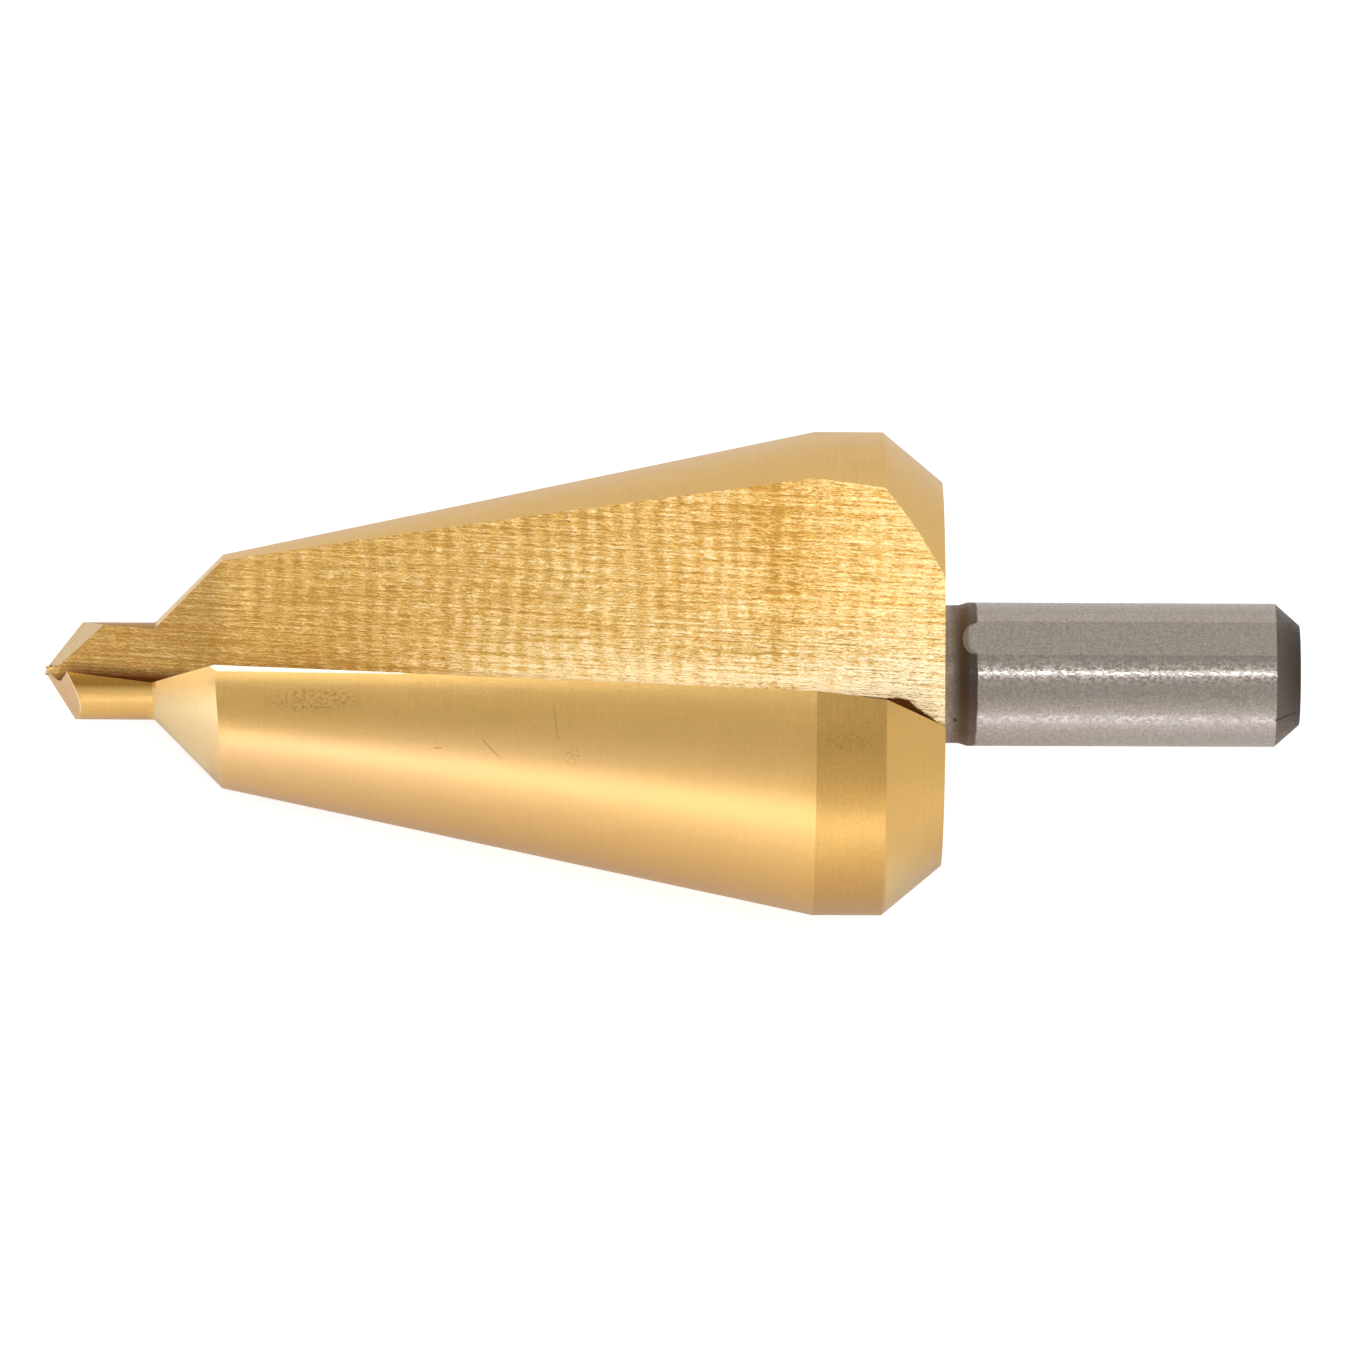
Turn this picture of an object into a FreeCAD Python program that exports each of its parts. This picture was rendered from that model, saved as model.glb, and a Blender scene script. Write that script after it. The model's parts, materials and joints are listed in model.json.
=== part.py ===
# Cone drill bit for sheet metal, turned, milled and ground from one bar of high-speed steel.
#
# The tool is drawn along +X, from the point at the origin to the end of the shank. Its first
# cutting edge lies on the +Z side and its flute opens towards +Y. The second edge is the same
# half a turn round. At the end the finished tool is laid down as it comes to rest on a table,
# on the mouth of its second flute.
#
# Lengths are in millimetres and angles in degrees.

import FreeCAD, Part
import itertools
import os
import Sketcher

SIZES = {
    # Whole tool
    "overall_length": 78.6,
    # Pilot point
    "pilot_diameter": 6.1,
    "pilot_length": 6.67,
    "point_angle": 132.5,
    "first_clearance": 31.4,
    "second_clearance": 38.3,
    "heel_clearance": 37.6,
    "heel_sweep": 59.5,
    "heel_offset": 0.3,
    "heel_start": 0.33,
    # Cutting head
    "front_chamfer_angle": 47.0,
    "front_chamfer_tilt": 1.8,
    "cone_angle": 11.94,
    "cone_end": 48.1,
    "land_diameter": 30.5,
    "land_length": 4.33,
    "rear_chamfer_length": 3.72,
    "rear_chamfer_angle": 39.8,
    "land_relief": 0.09,
    "seam_angle": 6.0,
    # Flutes
    "web_at_point": 0.76,
    "flute_drop": 0.89,
    "hook_angle": 20.0,
    "flute_rise": 10.1,
    "flute_swing": 2.94,
    "flute_root_radius": 0.7,
    # Shank
    "neck_diameter": 8.65,
    "neck_length": 1.05,
    "neck_ramp": 0.6,
    "shank_diameter": 9.0,
    "end_chamfer_length": 1.55,
    "end_chamfer_angle": 41.5,
    "flat_depth": 0.17,
    "flat_set_back": 1.35,
    "flat_run_out": 0.88,
    "flat_turn": 58.5,
}

DRILL = "cone_drill_bit"

# Places that several features share, as rules in the sheet's sizes.
LAND_END = "(Sizes.cone_end + Sizes.land_length)"
HEAD_END = "(Sizes.cone_end + Sizes.land_length + Sizes.rear_chamfer_length)"
LAND_RADIUS = "(Sizes.land_diameter / 2)"
PILOT_RADIUS = "(Sizes.pilot_diameter / 2)"
SHANK_RADIUS = "(Sizes.shank_diameter / 2)"
FRONT_APEX = f"(Sizes.pilot_length - {PILOT_RADIUS} / tan(Sizes.front_chamfer_angle))"
CORE_START = f"({FRONT_APEX} + {PILOT_RADIUS} / 2)"
CLEAR_OF_HEAD = "Sizes.land_diameter"
PAST_THE_END = "(Sizes.overall_length + Sizes.end_chamfer_length)"

# How far the point's grinding reaches past the pilot's side and ahead of it, in pilot radii.
PILOT_REACH = f"({PILOT_RADIUS} * 1.03)"
PILOT_AHEAD = f"({PILOT_RADIUS} * 4)"

# Turns about the tool's axis, in degrees.
HALF_TURN = 180
WHOLE_TURN = 360

# Limits of the search for the attitude at rest.
SMALLEST_TRIANGLE = 1.0
TOUCHING = 0.001


def size_sheet(document):
    """Puts the driving sizes into a sheet, one named cell each."""
    sheet = document.addObject("Spreadsheet::Sheet", "Sizes")
    for row, (alias, number) in enumerate(SIZES.items(), start=1):
        sheet.set(f"A{row}", alias)
        sheet.set(f"B{row}", str(number))
        sheet.setAlias(f"B{row}", alias)
    document.recompute()


def origin_feature(body, role):
    """Gives one of the body's own origin planes or axes."""
    return next(item for item in body.Origin.OriginFeatures if item.Role == role)


def new_sketch(body, name, plane, offset=None):
    """Starts a sketch on one of the body's origin planes, moved and turned by a rule if given."""
    sketch = body.newObject("Sketcher::SketchObject", name)
    sketch.AttachmentSupport = [(origin_feature(body, plane), "")]
    sketch.MapMode = "FlatFace"
    if offset:
        sketch.setExpression("AttachmentOffset", offset)
    body.Document.recompute()
    return sketch


def worked_out(sketch, rule):
    """Gives the plain number that a rule comes to."""
    answer = sketch.evalExpression(rule)
    return float(getattr(answer, "Value", answer))


def bind(sketch, constraint, rule):
    """Adds a constraint with a size and ties that size to its rule."""
    index = sketch.addConstraint(constraint)
    sketch.setExpression(f"Constraints[{index}]", rule)


def hold(sketch, edge, end, across, up):
    """Ties one end of an edge to its place across and up the sketch."""
    for kind, axis, rule in (("DistanceX", -2, across), ("DistanceY", -1, up)):
        if rule == "0":
            sketch.addConstraint(Sketcher.Constraint("PointOnObject", edge, end, axis))
        else:
            distance = worked_out(sketch, rule)
            bind(sketch, Sketcher.Constraint(kind, -1, 1, edge, end, distance), rule)


def outline(sketch, corners):
    """Draws a closed outline through corners that are rules across and up the sketch."""
    places = [FreeCAD.Vector(worked_out(sketch, across), worked_out(sketch, up))
              for across, up in corners]
    edges = [sketch.addGeometry(Part.LineSegment(here, there), False)
             for here, there in zip(places, places[1:] + places[:1])]
    for edge, following in zip(edges, edges[1:] + edges[:1]):
        sketch.addConstraint(Sketcher.Constraint("Coincident", edge, 2, following, 1))
    for edge, (across, up) in zip(edges, corners):
        hold(sketch, edge, 1, across, up)


def turning_axis(sketch, height):
    """Draws a construction line along the sketch, at a height above its origin, to turn about."""
    level = worked_out(sketch, height)
    line = Part.LineSegment(FreeCAD.Vector(0, level), FreeCAD.Vector(1, level))
    edge = sketch.addGeometry(line, True)
    sketch.addConstraint(Sketcher.Constraint("Horizontal", edge))
    hold(sketch, edge, 1, "0", height)
    bind(sketch, Sketcher.Constraint("DistanceX", edge, 1, edge, 2, 1.0), "Sizes.overall_length")
    return (sketch, ["Axis0"])


def turned(body, kind, name, sketch, axis, degrees):
    """Turns a sketch about an axis into a solid or a groove."""
    feature = body.newObject(f"PartDesign::{kind}", name)
    feature.Profile = sketch
    feature.ReferenceAxis = axis
    feature.Angle = degrees
    body.Document.recompute()
    return feature


def slant_cut(body, name, sketch, direction, reach):
    """Cuts a sketch through the tool both ways along a slant, given as three rules, to a reach."""
    cut = body.newObject("PartDesign::Pocket", name)
    cut.Profile = sketch
    cut.UseCustomVector = True
    cut.AlongSketchNormal = True
    for letter, rule in zip("xyz", direction):
        cut.setExpression(f"Direction.{letter}", rule)
    cut.SideType = "Symmetric"
    cut.setExpression("Length", f"2 * {reach}")
    body.Document.recompute()
    return cut


def both_sides(body, name, *features):
    """Repeats features half a turn round the tool's axis."""
    pattern = body.newObject("PartDesign::PolarPattern", name)
    pattern.Originals = list(features)
    pattern.Axis = (origin_feature(body, "X_Axis"), [""])
    pattern.Angle = WHOLE_TURN
    pattern.Occurrences = 2
    body.Tip = pattern
    body.Document.recompute()


def lands(body):
    """Turns cone, land and rear chamfer about an axis set off towards the cutting edge.

    Each half turn therefore falls away slowly behind its own edge, which is the land's relief.
    The seam between the halves runs where the flutes are cut later.
    """
    turn = "placement(vector(0; 0; 0); rotation(0; 0; 0 - Sizes.seam_angle))"
    sketch = new_sketch(body, "LandProfile", "XZ_Plane", turn)
    front_radius = f"({LAND_RADIUS} - (Sizes.cone_end - {CORE_START}) * tan(Sizes.cone_angle))"
    rear_radius = f"({LAND_RADIUS} - Sizes.rear_chamfer_length * tan(Sizes.rear_chamfer_angle))"
    axis = turning_axis(sketch, "Sizes.land_relief")
    outline(sketch, [
        (CORE_START, "Sizes.land_relief"),
        (CORE_START, front_radius),
        ("Sizes.cone_end", LAND_RADIUS),
        (LAND_END, LAND_RADIUS),
        (HEAD_END, rear_radius),
        (HEAD_END, "Sizes.land_relief"),
    ])
    half = turned(body, "Revolution", "LandHalf", sketch, axis, HALF_TURN)
    both_sides(body, "Lands", half)


def front_chamfers(body):
    """Grinds the steep front cutting edges, each a cone whose axis tips away behind its edge."""
    tilt = (f"placement(vector({FRONT_APEX}; 0; 0);"
            " rotation(0; Sizes.front_chamfer_tilt; 0 - Sizes.seam_angle))")
    sketch = new_sketch(body, "FrontChamferProfile", "XZ_Plane", tilt)
    axis = turning_axis(sketch, "0")
    outline(sketch, [
        ("0", "0"),
        (f"{LAND_RADIUS} / tan(Sizes.front_chamfer_angle)", LAND_RADIUS),
        ("0", LAND_RADIUS),
    ])
    groove = turned(body, "Groove", "FrontChamfer", sketch, axis, HALF_TURN)
    both_sides(body, "FrontChamfers", groove)


def pilot(body):
    """Adds the cylindrical pilot, which runs back into the cone and forward past the point."""
    sketch = new_sketch(body, "PilotProfile", "XY_Plane")
    ahead = "(0 - Sizes.heel_offset)"
    root = f"(Sizes.pilot_length + {PILOT_RADIUS})"
    outline(sketch, [
        (ahead, "0"),
        (ahead, PILOT_RADIUS),
        (root, PILOT_RADIUS),
        (root, "0"),
    ])
    turned(body, "Revolution", "Pilot", sketch, (origin_feature(body, "X_Axis"), [""]), WHOLE_TURN)


def shank(body):
    """Adds the neck, its ramp up to the shank, and the shank with its end chamfer."""
    sketch = new_sketch(body, "ShankProfile", "XY_Plane")
    neck_radius = "(Sizes.neck_diameter / 2)"
    neck_end = f"({HEAD_END} + Sizes.neck_length)"
    end_radius = f"({SHANK_RADIUS} - Sizes.end_chamfer_length * tan(Sizes.end_chamfer_angle))"
    outline(sketch, [
        ("Sizes.cone_end", "0"),
        ("Sizes.cone_end", neck_radius),
        (neck_end, neck_radius),
        (f"({neck_end} + Sizes.neck_ramp)", SHANK_RADIUS),
        ("Sizes.overall_length - Sizes.end_chamfer_length", SHANK_RADIUS),
        ("Sizes.overall_length", end_radius),
        ("Sizes.overall_length", "0"),
    ])
    turned(body, "Revolution", "Shank", sketch, (origin_feature(body, "X_Axis"), [""]), WHOLE_TURN)


def shank_flat(body):
    """Mills the shallow driving flat, which rises gently out of the shank near the neck."""
    turn = "placement(vector(0; 0; 0); rotation(0; 0; Sizes.flat_turn))"
    sketch = new_sketch(body, "FlatProfile", "XY_Plane", turn)
    start = f"({HEAD_END} + Sizes.flat_set_back)"
    flat_level = f"({SHANK_RADIUS} - Sizes.flat_depth)"
    above = "Sizes.shank_diameter"
    outline(sketch, [
        (start, SHANK_RADIUS),
        (f"({start} + Sizes.flat_run_out)", flat_level),
        (PAST_THE_END, flat_level),
        (PAST_THE_END, above),
        (start, above),
    ])
    cut = body.newObject("PartDesign::Pocket", "ShankFlat")
    cut.Profile = sketch
    cut.SideType = "Symmetric"
    cut.setExpression("Length", "Sizes.shank_diameter")
    body.Document.recompute()


def flute_section(sketch):
    """Draws the flute's section at the point: a flat wall, a round root and a hooked rake face.

    Across the sketch is +Y and up it is +Z. The wall stands beside the web, and the rake face
    leans over by the hook angle, so that the edge is keen.
    """
    web = "(Sizes.web_at_point / 2)"
    rake_across = f"({CLEAR_OF_HEAD} * tan(Sizes.hook_angle) - Sizes.flute_drop)"
    corner = FreeCAD.Vector(-worked_out(sketch, "Sizes.flute_drop"), worked_out(sketch, web))
    far_up = worked_out(sketch, f"{web} + {CLEAR_OF_HEAD}")
    far_across = worked_out(sketch, CLEAR_OF_HEAD)
    rake_top = FreeCAD.Vector(worked_out(sketch, rake_across), far_up)
    radius = worked_out(sketch, "Sizes.flute_root_radius")
    lean = worked_out(sketch, "Sizes.hook_angle")
    root_run = radius * worked_out(sketch, f"tan((90 - {lean}) / 2 + {lean})")
    along_rake = (rake_top - corner).normalize()
    rake_foot = corner + along_rake * root_run
    wall_foot = corner + FreeCAD.Vector(root_run, 0)
    centre = FreeCAD.Vector(wall_foot.x, wall_foot.y + radius)
    middle = centre + (corner - centre).normalize() * radius

    root = sketch.addGeometry(Part.Arc(rake_foot, middle, wall_foot), False)
    low = FreeCAD.Vector(far_across, corner.y)
    high = FreeCAD.Vector(far_across, far_up)
    wall = sketch.addGeometry(Part.LineSegment(wall_foot, low), False)
    side = sketch.addGeometry(Part.LineSegment(low, high), False)
    mouth = sketch.addGeometry(Part.LineSegment(high, rake_top), False)
    rake = sketch.addGeometry(Part.LineSegment(rake_top, rake_foot), False)
    return corner, root, wall, side, mouth, rake


def flutes(body):
    """Mills the two straight flutes, which rise towards the shank as the web thickens."""
    sketch = new_sketch(body, "FluteSection", "YZ_Plane")
    corner, root, wall, side, mouth, rake = flute_section(sketch)
    mark = sketch.addGeometry(Part.Point(corner), True)
    web = "Sizes.web_at_point / 2"
    far_up = f"{web} + {CLEAR_OF_HEAD}"
    hold(sketch, mark, 1, "0 - Sizes.flute_drop", web)
    hold(sketch, side, 1, CLEAR_OF_HEAD, web)
    hold(sketch, side, 2, CLEAR_OF_HEAD, far_up)
    hold(sketch, rake, 1, f"{CLEAR_OF_HEAD} * tan(Sizes.hook_angle) - Sizes.flute_drop", far_up)
    for edge in (wall, rake):
        sketch.addConstraint(Sketcher.Constraint("PointOnObject", mark, 1, edge))
    for edge, following in ((wall, side), (side, mouth), (mouth, rake)):
        sketch.addConstraint(Sketcher.Constraint("Coincident", edge, 2, following, 1))
    sketch.addConstraint(Sketcher.Constraint("Tangent", wall, 1, root, 2))
    sketch.addConstraint(Sketcher.Constraint("Tangent", rake, 2, root, 1))
    bind(sketch, Sketcher.Constraint("Radius", root, 1.0), "Sizes.flute_root_radius")
    direction = ("1", "0 - tan(Sizes.flute_swing)", "tan(Sizes.flute_rise)")
    cut = slant_cut(body, "Flute", sketch, direction, f"({HEAD_END} + Sizes.neck_length / 4)")
    both_sides(body, "Flutes", cut)


def point_facet(body, name, half_turns, offset, fall, slope, start):
    """Grinds one flat facet of the point, for the first lip or, half a turn round, the second.

    On the axis the facet lies the offset ahead of the point. It falls back by the fall for each
    millimetre behind the lip, and by the slope for each millimetre from the axis out along it.
    It runs from its start, which is a place across the axis, to the pilot's side behind the lip.
    """
    turn = f"placement(vector(0; 0; 0); rotation(0; 0; {half_turns * HALF_TURN}))"
    sketch = new_sketch(body, name + "Profile", "XY_Plane", turn)
    outline(sketch, [
        (f"({PILOT_REACH} * {fall} - {offset})", f"0 - {PILOT_REACH}"),
        (f"(0 - {start} * {fall} - {offset})", start),
        (f"0 - {PILOT_AHEAD}", start),
        (f"0 - {PILOT_AHEAD}", f"0 - {PILOT_REACH}"),
    ])
    lip_side = "1" if half_turns == 0 else "0 - 1"
    slant_cut(body, name, sketch, (slope, "0", lip_side), PILOT_REACH)


def point(body):
    """Grinds each lip's clearance face, right across, and then the heel, beside the web only.

    The two lips are a little unlike, and the heels stop short of the web and of the other lip.
    """
    lip_slope = "(1 / tan(Sizes.point_angle / 2))"
    heel_slope = "(0 - tan(Sizes.heel_sweep))"
    for half_turns, which in enumerate(("First", "Second")):
        clearance = f"tan(Sizes.{which.lower()}_clearance)"
        point_facet(body, f"{which}Clearance", half_turns, "0", clearance, lip_slope, PILOT_REACH)
        point_facet(body, f"{which}Heel", half_turns, "Sizes.heel_offset",
                    "tan(Sizes.heel_clearance)", heel_slope, "(0 - Sizes.heel_start)")


def whole_drill(document):
    """Builds the tool, feature by feature, in the order in which it would be made."""
    body = document.addObject("PartDesign::Body", "ConeDrillBit")
    body.Label = DRILL
    document.recompute()
    lands(body)
    front_chamfers(body)
    pilot(body)
    shank(body)
    shank_flat(body)
    flutes(body)
    point(body)
    return body


def lies_between(centre, corners, normal):
    """Tells whether a point, looked at along the normal, lies between three corners."""
    turns = [(there - here).cross(centre - here).dot(normal)
             for here, there in zip(corners, corners[1:] + corners[:1])]
    return min(turns) > 0 or max(turns) < 0


def way_down(shape):
    """Gives the direction that faces the table when the tool has come to rest on its second flute.

    The table touches three corners, has the whole tool on one side, and carries its centre of
    mass between them. Of all such attitudes, the one that faces nearest to -Z is taken.
    """
    centre = shape.CenterOfGravity
    corners = [vertex.Point for vertex in shape.Vertexes]
    flute_side = FreeCAD.Vector(0, 0, -1)
    attitudes = []
    for trio in itertools.combinations(corners, 3):
        normal = (trio[1] - trio[0]).cross(trio[2] - trio[0])
        if normal.Length < SMALLEST_TRIANGLE:
            continue
        normal.normalize()
        if normal.dot(trio[0] - centre) < 0:
            normal = -normal
        if normal.dot(flute_side) <= 0 or not lies_between(centre, list(trio), normal):
            continue
        level = normal.dot(trio[0])
        if max(normal.dot(corner) for corner in corners) < level + TOUCHING:
            attitudes.append(normal)
    return max(attitudes, key=flute_side.dot)


def lay_down(body):
    """Lays the tool on the table, shank towards +X, with the origin under the middle of its box."""
    up = -way_down(body.Shape)
    along = FreeCAD.Vector(1, 0, 0)
    level = (along - up * along.dot(up)).normalize()
    turn = FreeCAD.Rotation(level, up.cross(level), up, "ZXY").inverted()
    body.Placement = FreeCAD.Placement(FreeCAD.Vector(), turn)
    box = body.Shape.optimalBoundingBox()
    foot = FreeCAD.Vector(box.Center.x, box.Center.y, box.ZMin)
    body.Placement = FreeCAD.Placement(-foot, turn)


def check(document, body):
    """Stops if any feature failed or the tool is not one sound solid."""
    for item in document.Objects:
        if "Invalid" in item.State or "Error" in item.State:
            raise RuntimeError(f"{item.Name} failed: {item.State}")
    if body.Shape.isNull() or not body.Shape.isValid() or len(body.Shape.Solids) != 1:
        raise RuntimeError(f"{body.Label} is not one sound solid")


def main():
    document = FreeCAD.newDocument("ConeDrill")
    size_sheet(document)
    body = whole_drill(document)
    document.recompute()
    lay_down(body)
    document.recompute()
    check(document, body)
    os.makedirs("parts", exist_ok=True)
    body.Shape.exportStep(f"parts/{body.Label}.step")


main()
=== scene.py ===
"""Cone drill bit: a coated sheet drill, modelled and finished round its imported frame."""

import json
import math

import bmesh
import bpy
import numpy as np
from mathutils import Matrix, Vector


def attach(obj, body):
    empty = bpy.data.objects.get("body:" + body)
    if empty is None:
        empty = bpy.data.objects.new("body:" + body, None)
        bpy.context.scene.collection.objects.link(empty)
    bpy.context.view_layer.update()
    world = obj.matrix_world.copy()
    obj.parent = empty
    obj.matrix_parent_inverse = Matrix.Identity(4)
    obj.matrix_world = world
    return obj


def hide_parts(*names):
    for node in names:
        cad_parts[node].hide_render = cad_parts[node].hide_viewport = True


bl_info = {
    "name": "Cone Drill Bit",
    "version": (1, 0, 0),
    "blender": (4, 5, 0),
    "location": "View3D > Sidebar > Cone Drill",
    "description": "Builds a coated cone drill bit with milled flutes, and a pale stage for it",
    "category": "Add Mesh",
}

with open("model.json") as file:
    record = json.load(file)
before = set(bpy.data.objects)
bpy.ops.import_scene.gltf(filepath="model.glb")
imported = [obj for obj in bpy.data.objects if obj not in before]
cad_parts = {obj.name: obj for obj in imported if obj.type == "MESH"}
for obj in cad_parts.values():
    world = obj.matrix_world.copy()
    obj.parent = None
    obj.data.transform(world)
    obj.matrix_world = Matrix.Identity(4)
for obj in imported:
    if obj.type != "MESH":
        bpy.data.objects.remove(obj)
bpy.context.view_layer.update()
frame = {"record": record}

MM = 0.001
NODE = frame["record"]["subparts"][0]["node"]
SHANK = next(mount for mount in frame["record"]["mounts"] if mount["name"] == "shank")
SHANK_RADIUS = SHANK["dims"]["r_mm"] * MM

# The stations of the head's profile, from ahead of the point to the rear face.
AHEAD, PILOT_END, CONE_START, CONE_END, LAND_END, HEAD_END = range(6)

# The order of the finishes on the tool.
GROUND, MILLED, POINT, NOSE, LAND, STEEL = range(6)

# Ramps along the head have their stops at shares of this length, in millimetres.
RAMP_LENGTH = 60

# The first cutting edge, in millimetres: how far across it starts, and its fall along the tool.
EDGE_ACROSS, EDGE_FALL = 0.82, 0.0429

# How far behind the head the neck's ramp is ground, and where the flat's bare end lies, in
# millimetres along from the head and across, with its reach each way.
RAMP_GROUND = 1.66
BARE_END, BARE_REACH = (1.95, 2.2), (0.72, 0.95)


def length(name, text, millimetres):
    """A size that is shown and set as a length."""
    return bpy.props.FloatProperty(name=name, description=text, default=millimetres * MM,
                                   precision=5, unit="LENGTH")


def angle(name, text, degrees):
    """A size that is shown and set as an angle."""
    return bpy.props.FloatProperty(name=name, description=text, default=math.radians(degrees),
                                   unit="ROTATION")


def colour(name, text, red, green, blue):
    """A colour of a finish, as a plain linear value."""
    return bpy.props.FloatVectorProperty(name=name, description=text, subtype="COLOR", size=3,
                                         min=0.0, max=1.0, default=(red, green, blue))


class DrillSizes(bpy.types.PropertyGroup):
    """The tool's sizes, from the point back."""

    roll: angle("Roll", "How far the tool has rolled about its axis to lie on a flute", 25.308)
    overall: length("Overall length", "From the point to the end of the shank", 78.6)
    pilot_diameter: length("Pilot diameter", "Across the pilot", 6.1)
    pilot_length: length("Pilot length", "From the point to the front chamfer", 6.67)
    point_angle: angle("Point angle", "Between the two lips", 132.5)
    first_clearance: angle("First clearance", "Fall of the first lip's clearance face", 31.4)
    second_clearance: angle("Second clearance", "Fall of the second lip's clearance face", 38.3)
    heel_clearance: angle("Heel clearance", "Fall of the heel faces behind the lips", 37.6)
    heel_sweep: angle("Heel sweep", "Fall of the heel faces away from their lips", 59.5)
    heel_offset: length("Heel offset", "How far ahead of the point the heel planes start", 0.3)
    heel_start: length("Heel start", "How far beside the axis the heels start", 0.33)
    front_angle: angle("Front chamfer angle", "Between the front chamfer and the axis", 47.0)
    front_tilt: angle("Front chamfer tilt", "Tilt that gives the front chamfer its relief", 1.8)
    cone_angle: angle("Cone angle", "Between the cone and the axis", 11.94)
    cone_end: length("Cone end", "From the point to the end of the cone", 48.1)
    land_diameter: length("Land diameter", "Across the cutting edges", 30.5)
    land_length: length("Land length", "Length of the land behind the cone", 4.33)
    rear_length: length("Rear chamfer length", "Length of the rear chamfer", 3.72)
    rear_angle: angle("Rear chamfer angle", "Between the rear chamfer and the axis", 39.8)
    relief: length("Land relief", "Offset of the axis that each land is ground about", 0.09)
    seam: angle("Relief direction", "Where the offset axis lies ahead of the edge", 6.0)
    web: length("Web at the point", "Thickness of the web at the point", 0.76)
    flute_drop: length("Flute drop", "How far the flute's corner lies below the axis", 0.89)
    hook: angle("Hook angle", "Lean of the rake face", 20.0)
    flute_rise: angle("Flute rise", "How the flute climbs out of the tool", 10.1)
    flute_swing: angle("Flute swing", "How the flute swings to the side", 2.94)
    root_radius: length("Flute root radius", "Radius in the flute's corner", 0.7)
    chatter_pitch: length("Chatter pitch", "Distance between the cutter's chatter marks", 1.2)
    chatter_depth: length("Chatter depth", "Depth of the chatter marks in the flute wall", 0.01)
    neck_diameter: length("Neck diameter", "Across the neck", 8.65)
    neck_length: length("Neck length", "Length of the neck behind the head", 1.05)
    neck_ramp: length("Neck ramp", "Length of the ramp from the neck to the shank", 0.6)
    end_length: length("End chamfer length", "Length of the chamfer at the shank's end", 1.55)
    end_angle: angle("End chamfer angle", "Between the end chamfer and the axis", 41.5)
    flat_depth: length("Flat depth", "Depth of the driving flat", 0.17)
    flat_back: length("Flat set-back", "From the head to the tip of the driving flat", 1.35)
    flat_run_out: length("Flat run-out", "Length over which the flat rises out", 0.88)
    flat_turn: angle("Flat turn", "Direction of the flat from the first flute's side", 58.5)


class DrillFinish(bpy.types.PropertyGroup):
    """The colours of the tool's finishes."""

    ground: colour("Ground coating", "Gold coating on the ground lands", 0.93, 0.56, 0.175)
    milled: colour("Milled coating", "Gold coating on the milled flutes", 0.93, 0.57, 0.18)
    steel: colour("Ground steel", "Bare ground steel of the shank", 0.53, 0.457, 0.396)
    skin: colour("Dark skin", "Unground skin round the neck", 0.10, 0.068, 0.048)


class DrillStage(bpy.types.PropertyGroup):
    """Where the camera stands and what the picture takes in."""

    distance: bpy.props.FloatProperty(name="Camera distance", default=1.26, unit="LENGTH",
                                      description="From the camera to the middle of the picture")
    width: length("Picture width", "Width that the picture covers at the tool", 84.39)
    centre_along: length("Picture centre along", "Picture centre along the tool's axis", 39.34)
    centre_up: length("Picture centre up", "Picture centre above the tool's axis", 0.0)
    turn: angle("Camera turn", "How far the camera is turned towards the point", 0.7)
    tilt: angle("Camera roll", "How far the tool's axis falls to the right in the picture", 0.22)


def land_radius(sizes, along):
    """Radius at the cutting edge: a rising cone, a level land, then the falling rear chamfer."""
    level = sizes.land_diameter / 2
    land_end = sizes.cone_end + sizes.land_length
    cone = level - (sizes.cone_end - along) * math.tan(sizes.cone_angle)
    chamfer = level - (along - land_end) * math.tan(sizes.rear_angle)
    return np.where(along < sizes.cone_end, cone, np.where(along > land_end, chamfer, level))


def relieved_radius(sizes, along, turn):
    """Radius of a land at a turn behind its edge: a circle whose centre is set off by the relief."""
    lead = turn + sizes.seam
    circle = land_radius(sizes, along) - sizes.relief
    return sizes.relief * np.cos(lead) + np.sqrt(circle**2 - (sizes.relief * np.sin(lead))**2)


def front_slope(sizes, turn):
    """Length per radius of the front chamfer: a cone about an axis tipped away from the edge."""
    grip = math.cos(sizes.front_angle)
    lean = np.sin(turn) * math.sin(sizes.front_tilt)
    upright = math.cos(sizes.front_tilt)
    scale = upright**2 - grip**2
    return (lean * upright + np.sqrt((lean * upright)**2 - scale * (lean**2 - grip**2))) / scale


def land_surface(sizes, station, turn):
    """Place along the axis and radius for a station of the profile and a turn behind the edge."""
    station, turn = np.broadcast_arrays(station, turn)
    pilot = sizes.pilot_diameter / 2
    apex = sizes.pilot_length - pilot / math.tan(sizes.front_angle)
    slope = front_slope(sizes, turn)
    crease = np.full_like(turn, sizes.land_diameter / 4)
    for _ in range(12):
        crease = relieved_radius(sizes, apex + slope * crease, turn)
    land_end = sizes.cone_end + sizes.land_length
    stops = np.stack(np.broadcast_arrays(
        -sizes.heel_offset, apex + slope * pilot, apex + slope * crease,
        sizes.cone_end, land_end, land_end + sizes.rear_length))
    leg = np.clip(np.floor(station), AHEAD, LAND_END).astype(int)
    start = np.take_along_axis(stops, leg[None], axis=0)[0]
    stop = np.take_along_axis(stops, leg[None] + 1, axis=0)[0]
    along = start + (station - leg) * (stop - start)
    radius = np.where(leg == AHEAD, pilot, np.where(leg == PILOT_END, (along - apex) / slope,
                                                   relieved_radius(sizes, along, turn)))
    return along, radius


def land_points(sizes, station, turn):
    """Points of the first land, which runs from the +Z side towards -Y."""
    along, radius = land_surface(sizes, station, turn)
    return np.stack((along, -radius * np.sin(turn), radius * np.cos(turn)), axis=-1)


def flute_corner(sizes, along):
    """Corner of wall and rake face in the first flute: a straight line that climbs and swings."""
    across = -sizes.flute_drop - along * math.tan(sizes.flute_swing)
    up = sizes.web / 2 + along * math.tan(sizes.flute_rise)
    return across, up


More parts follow.
